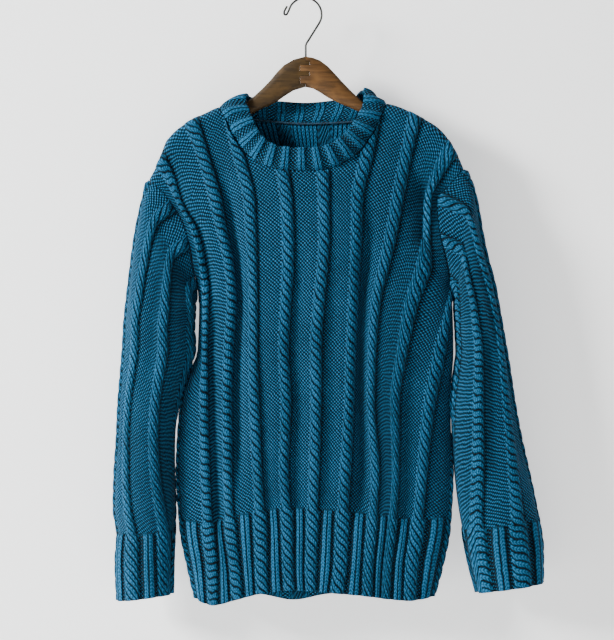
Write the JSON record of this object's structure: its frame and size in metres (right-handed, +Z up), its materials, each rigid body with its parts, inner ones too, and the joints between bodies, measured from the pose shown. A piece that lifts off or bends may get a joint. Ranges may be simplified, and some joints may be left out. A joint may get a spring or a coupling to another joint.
{
  "type": "knitted pullover on a clothes hanger",
  "caption": "Cable-knit crew-neck pullover hanging flat on a jointed wooden clothes hanger with a wire hook.",
  "frame": {"origin": "the point where the hook rests on what carries it: the highest point of the inside of its bend", "axes": "+Z up, the front of the pullover faces -Y, +X to the right as the front is seen"},
  "size_m": [0.5502, 0.0696, 0.7745],
  "materials": {
    "wool": "matt knitted wool",
    "wood_dark": "worn satin",
    "wood_warm": "worn satin",
    "wire": "black satin"
  },
  "bodies": {
    "root": {"front": "wool", "back": "wool", "sleeve_left": "wool", "sleeve_right": "wool", "neckband": "wool", "hanger_half_left": "wood_dark", "hanger_half_right": "wood_warm", "hanger_hook": "wire"}
  },
  "joints": []
}
